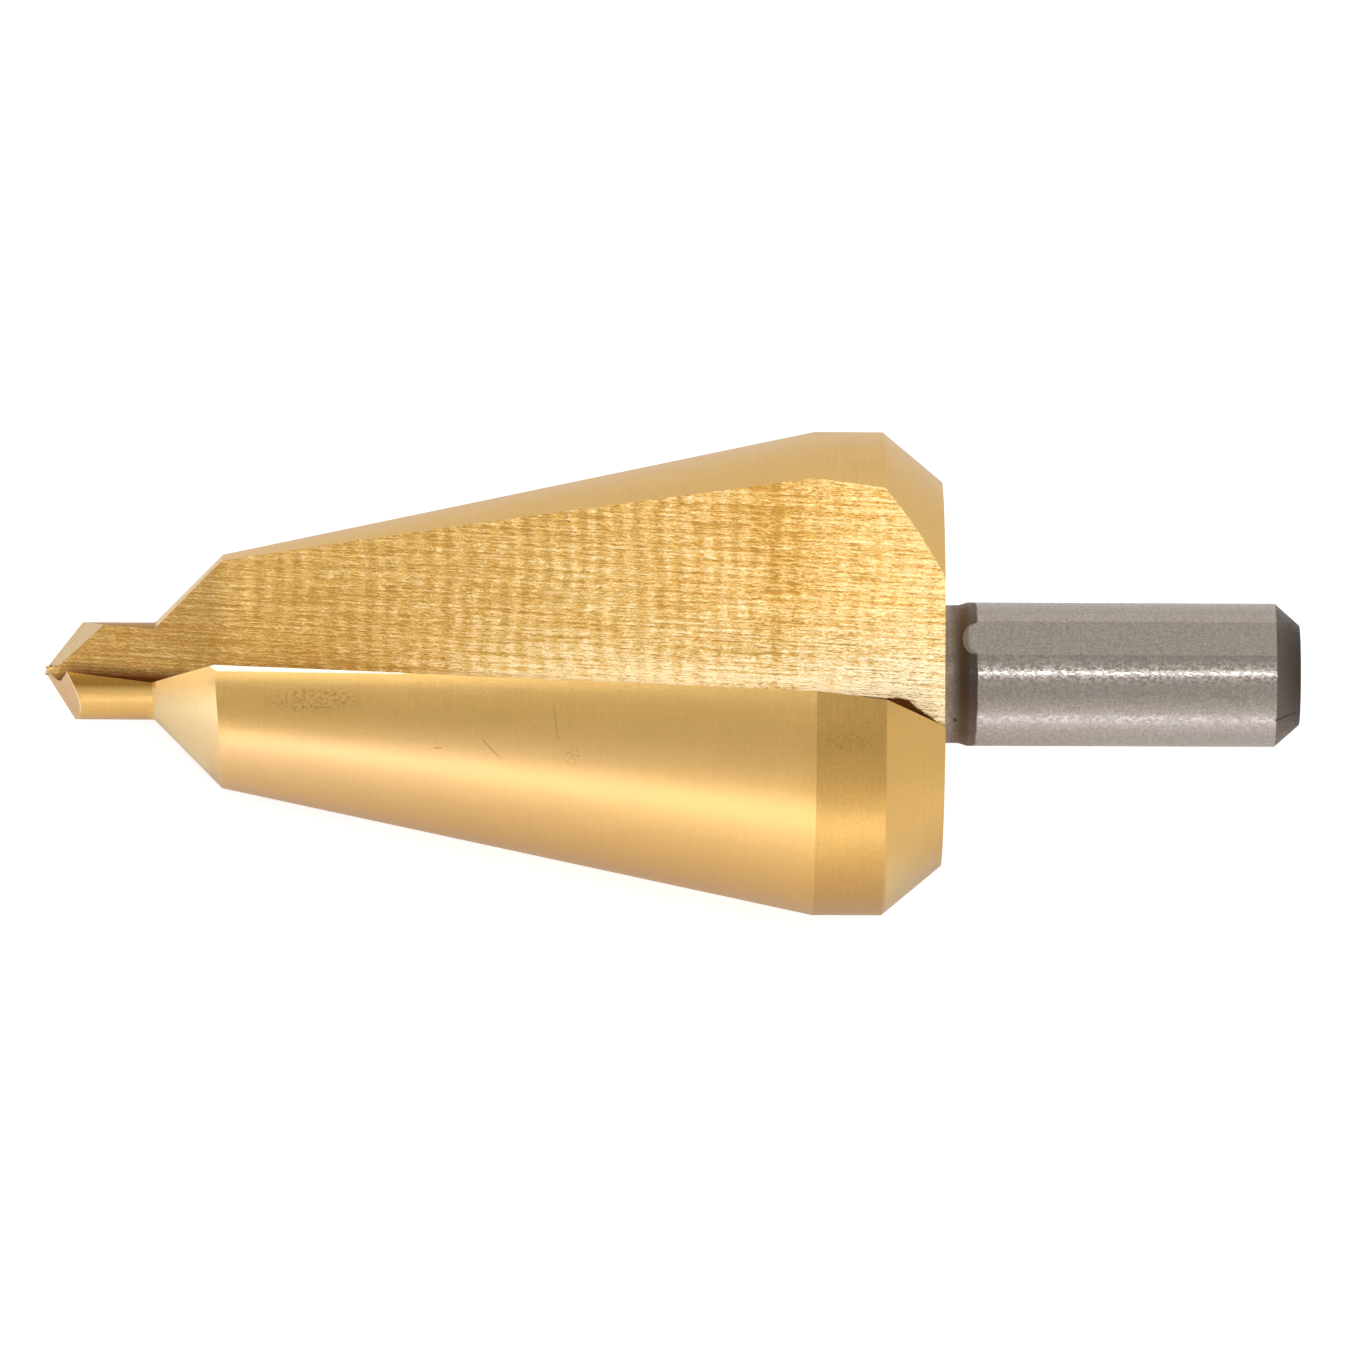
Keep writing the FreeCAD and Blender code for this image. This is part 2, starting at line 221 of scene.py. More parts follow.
def chatter(sizes, along):
    """Height of the cutter's marks: waves of one pitch whose pace drifts slowly."""
    phase = 2 * math.pi * along / sizes.chatter_pitch
    fade = np.clip(along / sizes.pilot_length - 1, 0, 1)
    return sizes.chatter_depth * fade * np.sin(phase + 2 * np.sin(phase * 0.137 + 0.8))


def halving(outside, inside, is_inside):
    """Finds where a yes turns to a no between two turns, by halving the gap again and again."""
    for _ in range(40):
        middle = (outside + inside) / 2
        yes = is_inside(middle)
        inside = np.where(yes, middle, inside)
        outside = np.where(yes, outside, middle)
    return (outside + inside) / 2


def edge_turns(sizes, station):
    """Turns of the cutting edge and of the heel, where the flutes cut through the land."""

    def below_rake(turn):
        point = land_points(sizes, station, turn)
        across, up = flute_corner(sizes, point[..., 0])
        return point[..., 1] < across + (point[..., 2] - up) * math.tan(sizes.hook)

    def before_wall(turn):
        point = land_points(sizes, station, turn)
        wall = flute_corner(sizes, point[..., 0])[1] + chatter(sizes, point[..., 0])
        return point[..., 2] > -wall

    flat = np.zeros_like(station)
    edge = halving(flat - 0.35, flat + 0.6, below_rake)
    heel = halving(flat + 3.05, flat + math.pi / 2, before_wall)
    return edge, heel


def half_section(sizes, station, counts):
    """Half of the section at each station: land, then the second flute's wall, root and rake.

    The land is a grid between cutting edge and heel. The flute's wall and rake are straight
    lines between land, root and the next edge, and the root is an arc.
    """
    lands, walls, roots, rakes = counts
    edge, heel = edge_turns(sizes, station)
    share = np.linspace(0, 1, lands + 1)[None, :]
    turn = edge[:, None] * (1 - share) + heel[:, None] * share
    land = land_points(sizes, station[:, None], turn)
    next_edge = land[:, :1] * (1, -1, -1)

    along = next_edge[..., 0]
    across, up = flute_corner(sizes, along)
    run = sizes.root_radius * math.tan(math.pi / 4 + sizes.hook / 2)
    middle = (across + run, up + sizes.root_radius)

    share = np.linspace(0, 1, walls + 1)[None, 1:]
    foot = np.stack((along, -middle[0], -up), axis=-1)
    wall = land[:, -1:] * (1 - share[..., None]) + foot * share[..., None]
    level = flute_corner(sizes, wall[..., 0])[1]
    fade = (1 - share)**2 * (1 + 2 * share)
    wall[..., 2] = -(level + chatter(sizes, wall[..., 0]) * fade)

    sweep = np.linspace(1.5 * math.pi, math.pi - sizes.hook, roots + 1)[None, 1:]
    root = np.stack((along + 0 * sweep,
                     -(middle[0] + sizes.root_radius * np.cos(sweep)),
                     -(middle[1] + sizes.root_radius * np.sin(sweep))), axis=-1)

    share = np.linspace(0, 1, rakes + 1)[None, 1:-1, None]
    rake = root[:, -1:] * (1 - share) + next_edge * share
    return np.concatenate((land, wall, root, rake), axis=1)


def ring_faces(rows, columns):
    """Corner numbers of the four-sided faces between rings of points that close on themselves."""
    row, column = np.meshgrid(np.arange(rows - 1), np.arange(columns), indexing="ij")
    here = row * columns + column
    there = row * columns + (column + 1) % columns
    return np.stack((here, there, there + columns, here + columns), axis=-1).reshape(-1, 4)


def head_stations():
    """Stations of the head's rings, close enough together to show the chatter marks."""
    legs = ((AHEAD, 36), (PILOT_END, 22), (CONE_START, 150), (CONE_END, 16), (LAND_END, 16))
    steps = [start + np.arange(count) / count for start, count in legs]
    return np.concatenate(steps + [[float(HEAD_END)]])


def head_grid(sizes):
    """Rings round the head, from ahead of the point to the rear face, with each face's finish."""
    counts = (56, 48, 6, 14)
    station = head_stations()
    half = half_section(sizes, station, counts)
    rings = np.concatenate((half, half * (1, -1, -1)), axis=1)
    rows, columns = rings.shape[:2]
    faces = ring_faces(rows, columns)
    half_finish = np.full(columns // 2, MILLED)
    half_finish[:counts[0]] = GROUND
    finish = np.tile(half_finish, (rows - 1, 2))
    legs = station[:-1, None].astype(int)
    for leg, own in ((PILOT_END, NOSE), (CONE_END, LAND)):
        finish[(legs == leg) & (finish == GROUND)] = own
    return rings, faces, finish.ravel()


def shank_radius(sizes, along, turn):
    """Radius of neck and shank: level, a ramp, level, the end chamfer, less the driving flat."""
    head_end = sizes.cone_end + sizes.land_length + sizes.rear_length
    neck_end = head_end + sizes.neck_length
    end_radius = SHANK_RADIUS - sizes.end_length * math.tan(sizes.end_angle)
    places = (neck_end, neck_end + sizes.neck_ramp, sizes.overall - sizes.end_length, sizes.overall)
    round_part = np.interp(along, places,
                           (sizes.neck_diameter / 2, SHANK_RADIUS, SHANK_RADIUS, end_radius))
    start = head_end + sizes.flat_back
    level = np.interp(along, (start, start + sizes.flat_run_out),
                      (SHANK_RADIUS, SHANK_RADIUS - sizes.flat_depth))
    level = np.where(along < start, 2 * SHANK_RADIUS, level)
    facing = np.cos(turn)
    return np.minimum(round_part, level / np.maximum(facing, 0.5))


def shank_grid(sizes):
    """Rings round neck and shank, close together where the flat rises out and at the chamfer."""
    head_end = sizes.cone_end + sizes.land_length + sizes.rear_length
    flat_start = head_end + sizes.flat_back
    chamfer_start = sizes.overall - sizes.end_length
    half_flat = math.acos(1 - sizes.flat_depth / SHANK_RADIUS)
    fine = sizes.flat_run_out / 32
    along = np.concatenate((
        np.linspace(head_end, head_end + sizes.neck_length, 4)[:-1],
        np.linspace(head_end + sizes.neck_length, flat_start, 8)[:-1],
        np.arange(flat_start, flat_start + sizes.flat_run_out + fine / 2, fine),
        np.linspace(flat_start + sizes.flat_run_out, chamfer_start, 28)[1:-1],
        np.linspace(chamfer_start, chamfer_start + sizes.flat_depth * 1.2, 8)[:-1],
        np.linspace(chamfer_start + sizes.flat_depth * 1.2, sizes.overall, 8)))
    turn = np.concatenate((np.linspace(-half_flat, half_flat, 29)[:-1],
                           np.linspace(half_flat, 2 * math.pi - half_flat, 101)[:-1]))
    radius = shank_radius(sizes, along[:, None], turn[None, :])
    facing = turn + sizes.flat_turn
    rings = np.stack((along[:, None] + 0 * radius, radius * np.cos(facing), radius * np.sin(facing)),
                     axis=-1)
    return rings, ring_faces(*rings.shape[:2])


def ring_edges(mesh, first, count):
    """The edges of an open end's ring of points, from the number of its first point."""
    ring = mesh.verts[first:first + count]
    members = set(ring)
    return [edge for vert in ring for edge in vert.link_edges
            if edge.is_boundary and edge.other_vert(vert) in members and edge.verts[0] is vert]


def fill(mesh, edges, finish):
    """Closes flat loops of edges with triangles of one finish."""
    made = bmesh.ops.triangle_fill(mesh, edges=edges, use_beauty=True)
    for item in made["geom"]:
        if isinstance(item, bmesh.types.BMFace):
            item.material_index = finish


def bisect(mesh, faces, place, away, clear):
    """Cuts faces by a plane, takes off what lies beyond it if asked, and gives the cut's edges."""
    edges = dict.fromkeys(edge for face in faces for edge in face.edges)
    verts = dict.fromkeys(vert for face in faces for vert in face.verts)
    cut = bmesh.ops.bisect_plane(mesh, geom=[*faces, *edges, *verts], dist=1e-8, plane_co=place,
                                 plane_no=away, clear_outer=clear)
    return [item for item in cut["geom_cut"] if isinstance(item, bmesh.types.BMEdge)]


def grind_point(mesh, sizes):
    """Grinds the lips' clearance faces right across, then each heel beside the web only.

    Each facet is a plane through a place on the axis: it falls back behind the lip, and along
    the lip. Every plane's cut is closed, and so is the small step where a heel stops.
    """
    reach = sizes.pilot_length * 0.9
    lip = 1 / math.tan(sizes.point_angle / 2)
    sides = ((1, sizes.first_clearance), (-1, sizes.second_clearance))
    for side, clearance in sides:
        front = [face for face in mesh.faces if face.calc_center_median().x < reach]
        away = Vector((-1, -side * math.tan(clearance), side * lip))
        fill(mesh, bisect(mesh, front, Vector(), away, True), POINT)
    for side, _ in sides:
        step = Vector((0, -side * sizes.heel_start, 0))
        front = [face for face in mesh.faces if face.calc_center_median().x < reach]
        bisect(mesh, front, step, Vector((0, 1, 0)), False)
        heel = [face for face in mesh.faces if face.calc_center_median().x < reach
                and face.calc_center_median().y * side < -sizes.heel_start]
        away = Vector((-1, -side * math.tan(sizes.heel_clearance),
                       -side * math.tan(sizes.heel_sweep)))
        slope = [edge for edge in bisect(mesh, heel, Vector((-sizes.heel_offset, 0, 0)), away, True)
                 if edge.is_boundary]
        wall = [edge for edge in mesh.edges if edge.is_boundary and edge not in slope
                and all(abs(vert.co.y - step.y) < 1e-7 for vert in edge.verts)]
        on_slope = {vert for edge in slope for vert in edge.verts}
        ends = dict.fromkeys(vert for edge in wall for vert in edge.verts if vert in on_slope)
        crease = mesh.edges.new(tuple(ends))
        fill(mesh, slope + [crease], POINT)
        fill(mesh, wall + [crease], POINT)


def tool_matrix(sizes):
    """Where the tool lies: its own frame has +X along the axis and +Z out of the first flute."""
    along = Vector(SHANK["axis"])
    side = Vector((0, 1, 0))
    upright = along.cross(side)
    across = side * math.cos(sizes.roll) + upright * math.sin(sizes.roll)
    out = upright * math.cos(sizes.roll) - side * math.sin(sizes.roll)
    turn = Matrix((along, across, out)).transposed().to_4x4()
    cylinder_start = (sizes.cone_end + sizes.land_length + sizes.rear_length
                      + sizes.neck_length + sizes.neck_ramp)
    middle = (cylinder_start + sizes.overall - sizes.end_length) / 2
    return Matrix.Translation(Vector(SHANK["pos_m"]) - along * middle) @ turn


def tool_mesh(sizes):
    """Joins head, rear face, shank and end into one closed skin, and grinds the point."""
    head, head_faces, head_finish = head_grid(sizes)
    shank, shank_faces = shank_grid(sizes)
    head_count, columns, turns = head.shape[0] * head.shape[1], head.shape[1], shank.shape[1]
    points = np.concatenate((head.reshape(-1, 3), shank.reshape(-1, 3)))
    faces = np.concatenate((head_faces, shank_faces + head_count))
    skin = bpy.data.meshes.new("cone_drill")
    skin.from_pydata(points, [], faces)
    skin.polygons.foreach_set("material_index", np.concatenate(
        (head_finish, np.full(len(shank_faces), STEEL))))

    mesh = bmesh.new()
    mesh.from_mesh(skin)
    mesh.verts.ensure_lookup_table()
    fill(mesh, ring_edges(mesh, head_count - columns, columns)
         + ring_edges(mesh, head_count, turns), GROUND)
    fill(mesh, ring_edges(mesh, len(points) - turns, turns), STEEL)
    fill(mesh, ring_edges(mesh, 0, columns), POINT)
    grind_point(mesh, sizes)
    bmesh.ops.remove_doubles(mesh, verts=mesh.verts, dist=1e-7)
    bmesh.ops.recalc_face_normals(mesh, faces=mesh.faces)
    mesh.transform(tool_matrix(sizes))
    mesh.to_mesh(skin)
    mesh.free()
    return skin


class Wire:
    """A shader value that sums can be written with."""

    def __init__(self, shader, socket):
        self.shader = shader
        self.socket = socket

    def __add__(self, other):
        return self.shader.maths("ADD", self, other)

    def __radd__(self, other):
        return self.shader.maths("ADD", other, self)

    def __sub__(self, other):
        return self.shader.maths("SUBTRACT", self, other)

    def __rsub__(self, other):
        return self.shader.maths("SUBTRACT", other, self)

    def __mul__(self, other):
        return self.shader.maths("MULTIPLY", self, other)

    def __rmul__(self, other):
        return self.shader.maths("MULTIPLY", other, self)

    def __truediv__(self, other):
        return self.shader.maths("DIVIDE", self, other)

    def __rtruediv__(self, other):
        return self.shader.maths("DIVIDE", other, self)


class Shader:
    """A material, or the world, whose nodes are added by expressions."""

    def __init__(self, name, world=None):
        self.material = world or bpy.data.materials.new(name)
        self.material.use_nodes = True
        self.tree = self.material.node_tree
        self.tree.nodes.clear()

    def node(self, kind, settings=None, sockets=None, output=0):
        """Adds a node: its settings first, then values or wires for its sockets."""
        made = self.tree.nodes.new(kind)
        for name, value in (settings or {}).items():
            if name == "stops":
                self.set_stops(made.color_ramp, value)
            else:
                setattr(made, name, value)
        for key, value in (sockets or {}).items():
            if isinstance(value, Wire):
                self.tree.links.new(value.socket, made.inputs[key])
            else:
                made.inputs[key].default_value = value
        return Wire(self, made.outputs[output]) if made.outputs else None

    @staticmethod
    def set_stops(ramp, stops):
        """Gives a ramp its stops, as places and colours."""
        while len(ramp.elements) < len(stops):
            ramp.elements.new(1.0)
        for element, (place, colour) in zip(ramp.elements, stops):
            element.position = place
            element.color = colour

    def place(self, sizes, stretch=(1, 1, 1)):
        """Object coordinates turned into the tool's own frame, in millimetres, then stretched."""
        back = tool_matrix(sizes).inverted()
        coordinates = self.node("ShaderNodeTexCoord", output=3)
        own = self.node("ShaderNodeMapping", {"vector_type": "POINT"},
                        {0: coordinates, "Location": back.to_translation(),
                         "Rotation": back.to_euler("XYZ")})
        return self.node("ShaderNodeVectorMath", {"operation": "MULTIPLY"},
                         {0: own, 1: [factor / MM for factor in stretch]})

    def rays(self, kind):
        """One for rays of a kind, and nothing for the others."""
        return self.node("ShaderNodeLightPath", None, None, kind)

    def parts(self, vector):
        """The three parts of a vector."""
        split = self.node("ShaderNodeSeparateXYZ", None, {0: vector}).socket.node
        return [Wire(self, out) for out in split.outputs]

    def noise(self, vector, scale=1.0, detail=2.0, roughness=0.5):
        """Soft noise from 0 to 1 about a half."""
        return self.node("ShaderNodeTexNoise", {"noise_dimensions": "3D"},
                         {"Vector": vector, "Scale": scale, "Detail": detail,
                          "Roughness": roughness})

    def ramp(self, value, stops):
        """A number read through a ramp of grey levels."""
        greys = [(place, (level, level, level, 1.0)) for place, level in stops]
        return self.node("ShaderNodeValToRGB", {"stops": greys}, {0: value})

    def colours(self, value, stops):
        """A colour read through a ramp of colours."""
        return self.node("ShaderNodeValToRGB", {"stops": stops}, {0: value})

    def vector(self, first, second, third):
        """A vector from three values."""
        return self.node("ShaderNodeCombineXYZ", None, {0: first, 1: second, 2: third})

    def head_ramp(self, along, stops):
        """A grey level read by the place along the head, at shares of the ramps' length."""
        return self.ramp(along / RAMP_LENGTH, stops)

    def above(self, value, limit):
        """One where a value is over a limit, and nothing elsewhere."""
        return self.maths("GREATER_THAN", value, limit)

    def under(self, value, limit):
        """One where a value is under a limit, and nothing elsewhere."""
        return self.maths("LESS_THAN", value, limit)

    def reach(self, first, second):
        """The length of two parts at right angles."""
        return self.maths("SQRT", first * first + second * second)

    def wave(self, turns):
        """A wave from 0 to 1, once for every whole turn."""
        return self.maths("SINE", turns * (2 * math.pi)) * 0.5 + 0.5

    def maths(self, operation, first, second=0.0):
        """A Math node."""
        return self.node("ShaderNodeMath", {"operation": operation}, {0: first, 1: second})

    def blend(self, factor, first, second):
        """A mix of two colours."""
        return self.node("ShaderNodeMix", {"data_type": "RGBA"},
                         {0: factor, 6: first, 7: second}, 2)

    def tint(self, factor, first, second):
        """A colour multiplied by another."""
        return self.node("ShaderNodeMix", {"data_type": "RGBA", "blend_type": "MULTIPLY"},
                         {0: factor, 6: first, 7: second}, 2)

    def bump(self, height, depth):
        """A normal from a height between 0 and 1 that stands for a depth in metres."""
        return self.node("ShaderNodeBump", None, {"Height": height, "Distance": depth})

    def clamp(self, value):
        """A value held between 0 and 1."""
        return self.node("ShaderNodeClamp", None, {0: value})

    def metal(self, colour, roughness, normal, metallic=1.0):
        """Ends the material in a metal surface."""
        sockets = {"Base Color": colour, "Roughness": roughness, "Metallic": metallic,
                   "Normal": normal}
        surface = self.node("ShaderNodeBsdfPrincipled", None, sockets)
        self.node("ShaderNodeOutputMaterial", None, {"Surface": surface})
        return self.material


def shade(colour, red, green=None, blue=None):
    """A colour made lighter or darker by plain factors, with full opacity."""
    factors = (red, red if green is None else green, red if blue is None else blue)
    return (*(min(part * factor, 1.0) for part, factor in zip(colour, factors)), 1.0)


def speckles(shader, along, across, place, reach, sharpness):
    """A soft-edged patch of fine specks round a place, with its reach each way in millimetres."""
    first = (along - place[0]) / reach[0]
    second = (across - place[1]) / reach[1]
    patch = 1 - first * first - second * second
    specks = shader.noise(shader.vector(along * 3.6, across * 6.5, 0.0), detail=2.0)
    return shader.clamp((specks - 0.48) * sharpness) * shader.clamp(patch * 1.5)


def scratch(shader, along, across, start, stop, width):
    """A thin line from one place to another: the nearness to it, from 0 to 1."""
    run, fall = stop[0] - start[0], stop[1] - start[1]
    share = shader.clamp(((along - start[0]) * run + (across - start[1]) * fall)
                         / (run * run + fall * fall))
    first = along - start[0] - share * run
    second = across - start[1] - share * fall
    return shader.clamp(1.6 - shader.reach(first, second) * (1.6 / width))


def marks_of_use(shader, along, across):
    """Specks and scratches on the first land and cone: the strongest at each place."""
    marks = (speckles(shader, along, across, (17.0, -1.75), (3.4, 0.9), 5.0),
             speckles(shader, along, across, (33.0, -5.2), (0.6, 0.7), 4.0),
             speckles(shader, along, across, (50.2, -4.2), (1.9, 0.7), 3.0),
             scratch(shader, along, across, (24.4, -4.7), (24.8, -4.72), 0.07),
             scratch(shader, along, across, (27.4, -4.2), (28.4, -5.26), 0.05),
             scratch(shader, along, across, (31.8, -2.1), (32.1, -4.2), 0.06) * 0.6)
    strongest = marks[0]
    for mark in marks[1:]:
        strongest = shader.maths("MAXIMUM", strongest, mark)
    return strongest


def land_coating_and_light(shader, sizes, place, tone, ground, tints):
    """The coating of a land: mottling in one tint, and in a second one near its cutting edge.

    Painted light makes it paler: a painted sheen towards the heel and at the lower edge of the
    rear chamfer, and a painted highlight low behind the front chamfer.
    """
    along, across, up = place
    tint, edge_tint = tints
    even = shader.blend(tone, shade(ground, *[part * 0.90 for part in tint]),
                        shade(ground, *[part * 1.08 for part in tint]))
    near_edge = 1 - shader.clamp(shader.maths("ABSOLUTE", across) * 0.6 - 0.45)
    edged = shader.tint(near_edge, even, (*edge_tint, 1.0))
    # Painted sheen: the coating is paler towards the heel.
    heel = shader.blend(tone, shade(ground, 0.95, 0.97, 1.05), shade(ground, 1.13, 1.15, 1.35))
    mottled_with_sheen = shader.blend(shader.clamp(up * across * 0.04), edged, heel)
    # Painted highlight: paler low behind the front chamfer.
    highlight_behind_chamfer = shader.head_ramp(along, [(0.166, 0.0), (0.176, 0.7), (0.6, 0.25),
                                              (0.78, 0.1), (0.80, 0.0)])
    pale = shader.blend(highlight_behind_chamfer * shader.clamp((across + 2.8) * -0.5), mottled_with_sheen,
                        shade(ground, 1.2, 1.16, 1.75))
    # Painted sheen at the lower edge of the rear chamfer.
    rear_start = (sizes.cone_end + sizes.land_length) / MM
    brim_sheen = shader.clamp(across * -0.4 - 4.3) * shader.above(along, rear_start + 0.17)
    return shader.tint(brim_sheen * 0.7, pale, (1.12, 1.45, 2.1, 1.0))


def painted_shade_bands(shader, place):
    """Two bands of painted shade on the lands, none on the front chamfer: under the edge, and at
    the lower silhouette.
    """
    along, across, up = place
    off_chamfer = shader.head_ramp(along, [(0.105, 1.0), (0.112, 0.0), (0.166, 0.0),
                                           (0.176, 1.0)])
    radius = shader.reach(across, up)
    share = across * -1.0 / radius
    shade_under_edge = off_chamfer * shader.clamp(share * 12) * shader.clamp(2.2 - share * 12)
    shade_at_outline = off_chamfer * shader.clamp(1.6 - shader.maths("ABSOLUTE", up) * 2.3 / radius)
    return shade_under_edge, shade_at_outline * shader.under(across, 0.0)


def edge_glint(shader, along, across):
    """The bright line beside the first cutting edge, within a margin that thins out."""
    margin = shader.head_ramp(along, [(0.17, 0.0), (0.18, 0.38), (0.31, 0.14), (0.38, 0.0)])
    below = EDGE_ACROSS - along * EDGE_FALL - across
    near = shader.clamp((margin - below) * 12 * shader.above(margin, 0.01))
    return near * shader.under(across, 1.0)


def ground_gold(sizes, finish, name, tints, mottle, matt):
    """Gold coating over fine grinding lines that run round the tool, with a few marks of use.

    It carries painted light too: painted shade beside the web, under the cutting edge and at the
    lower silhouette, painted sheen and highlights on the lands, and a painted glint by the first
    cutting edge.
    """
    shader = Shader(name)
    place = shader.parts(shader.place(sizes))
    along, across, up = place
    lines = shader.noise(shader.place(sizes, (9.0, 0.25, 0.25)), detail=4.0, roughness=0.7)
    grain = shader.noise(shader.place(sizes, (7.0, 7.0, 7.0)), detail=3.0, roughness=0.6)
    cloud = shader.noise(shader.place(sizes, (0.25, 0.5, 0.5)), detail=4.0)
    tone = shader.clamp((lines * 0.3 + grain * 0.5 + cloud * 0.2 - 0.5) * 3.0 * mottle + 0.5)
    first_land = shader.above(up, 0.0)
    coating = land_coating_and_light(shader, sizes, place, tone, finish.ground, tints)
    shade_under_edge, shade_at_outline = painted_shade_bands(shader, place)
    # Painted shade in a band under the cutting edge.
    coating = shader.tint(shade_under_edge * first_land, coating, (0.86, 0.86, 0.88, 1.0))
    # Painted shade beside the web on the pilot, varied with the grain, joins the marks of use.
    shade_beside_web = (shader.clamp((across + 1.2) * 3.0)
                  * shader.under(along, sizes.pilot_length / MM + 0.3))
    dark = shader.maths("MAXIMUM", marks_of_use(shader, along, across) * 0.55,
                        shade_beside_web * (0.6 + tone * 0.4)) * first_land
    # Marks of use and painted shade at the lower silhouette take the same dark brown.
    worn_and_shaded = shader.blend(shader.maths("MAXIMUM", dark, shade_at_outline * 0.40), coating,
                        shade(finish.ground, 0.44, 0.31, 0.10))
    glint = edge_glint(shader, along, across) * first_land
    colour = shader.blend(glint * 0.85, worn_and_shaded, (1.0, 0.95, 0.80, 1.0))
    roughness = matt + lines * 0.08 + grain * 0.06
    return shader.metal(colour, roughness, shader.bump(lines * 0.6 + grain, 0.000009))


def milled_tone(shader, along, lane, height, column):
    """How light the flute is: its rows and columns, about a level that changes by place.

    The level is painted light: it follows the place along the tool, mostly lighter towards the
    rear, and near the corner it falls or rises with the lane.
    """
    # Painted light along the flute, mostly lighter towards the rear.
    level = shader.head_ramp(along, [(0.0, 0.28), (0.20, 0.24), (0.27, 0.26), (0.42, 0.31),
                                     (0.58, 0.42), (0.73, 0.46), (0.76, 0.28), (0.80, 0.56),
                                     (0.90, 0.76), (0.95, 0.68)])
    side = shader.ramp(lane / 16, [(0.04, 1.0), (0.13, 0.85), (0.24, 0.55), (0.4, 0.5),
                                   (0.75, 0.43)])
    # Painted light near the corner: darker at the front, lighter further back.
    slope = shader.head_ramp(along, [(0.16, 0.3), (0.27, 0.1), (0.42, 0.6), (0.55, 0.9),
                                     (0.80, 0.9), (0.88, 0.65), (0.95, 0.45)]) * 2 - 0.7
    stripe = shader.head_ramp(along, [(0.22, 0.10), (0.36, 0.22), (0.70, 0.22), (0.80, 0.14)])
    contrast = shader.head_ramp(along, [(0.16, 0.60), (0.33, 0.73), (0.6, 0.73),
                                        (0.8, 0.95)]) * 6
    return ((height - 0.5) * contrast + level + (column - 0.5) * stripe
            + (side - 0.5) * slope)


def milled_coating_and_highlight(shader, along, lane, tone, milled):
    """The flute's coating from dark to pale, warmer high towards the rear, and cooler low there as
    a painted highlight.
    """
    even = shader.colours(tone, [(0.0, shade(milled, 0.53, 0.45, 0.31)),
                                 (0.45, shade(milled, 0.77, 0.76, 0.72)),
                                 (1.0, shade(milled, 1.06, 1.34, 2.4))])
    rear = shader.clamp(along * 0.06 - 2.0)
    warm = shader.tint(rear * shader.clamp(lane * 0.25 - 0.8), even, (1.06, 0.97, 0.80, 1.0))
    # Painted highlight: cooler and paler low towards the rear.
    return shader.tint(rear * shader.clamp(1.6 - lane * 0.22), warm, (1.0, 1.03, 1.14, 1.0))


def corner_shade(shader, along, lane, wander, dashes):
    """How dark the flute's corner is painted: painted shade at the pilot and near the point, and a
    painted shadow along the corner at the rear.
    """
    # Painted shade in the corner at the pilot.
    nose = shader.head_ramp(along, [(0.0, 0.04), (0.025, 0.22), (0.11, 0.24), (0.135, 0.27),
                                    (0.172, 0.26), (0.20, 0.0)])
    # Painted shadow at the rear: how far from the corner it reaches, along the tool.
    shadow_reach = shader.head_ramp(along, [(0.0, 0.0), (0.72, 0.0), (0.84, 0.91), (0.875, 0.89),
                                    (0.886, 0.93), (0.898, 0.87), (0.905, 0.66),
                                    (0.919, 0.40), (0.930, 0.17), (0.937, 0.05)])
    gap = shader.clamp((shadow_reach * 2 - 0.5 - lane + (wander - 0.5) * 0.3 + (dashes - 0.5) * 0.3) * 9)
    corner = (shader.clamp((0.75 - lane) * 1.1) * shader.clamp(along * 0.5)
              * shader.clamp(3.0 - along * 0.25))
    onset = shader.clamp(along * 0.14 - 6.2)
    return shader.clamp(gap * onset + corner * 0.85 + nose)


def milled_gold(sizes, finish):
    """Gold coating over milled rows along the flute, in columns left by the cutter's chatter, with
    painted light along it and painted shade and shadow in its corner.

    The rows are noises stretched along the flute's corner. A lane is the distance from that
    corner.
    """
    shader = Shader("milled_gold")
    along, across, up = shader.parts(shader.place(sizes))
    wander = shader.noise(shader.vector(along * 0.15, across * 0.25, up * 0.25))
    jog = shader.noise(shader.vector(along * 1.1, across * 0.6, up))
    lane = across * shader.maths("SIGN", up) + along * math.tan(sizes.flute_swing)
    track = lane + jog * 0.12
    column = shader.wave(along * (MM / sizes.chatter_pitch) + wander * 1.5)
    dashes = shader.noise(shader.vector(along * 4.6, track * 15.0, up), detail=2.0)
    rows = shader.noise(shader.vector(along * 1.6, track * 7.0, up), detail=3.0, roughness=0.6)
    lines = shader.noise(shader.vector(along * 0.08, lane * 7.0, up), detail=3.0, roughness=0.6)
    height = dashes * 0.34 + rows * 0.30 + lines * 0.36
    tone = milled_tone(shader, along, lane, height, column)
    coating = milled_coating_and_highlight(shader, along, lane, tone, finish.milled)
    dark = corner_shade(shader, along, lane, wander, dashes)
    # The corner's dark brown is painted shade and painted shadow.
    colour = shader.blend(dark, coating, shade(finish.milled, 0.12, 0.06, 0.04))
    return shader.metal(colour, 0.32, shader.bump(height + column * 0.05, 0.00006))


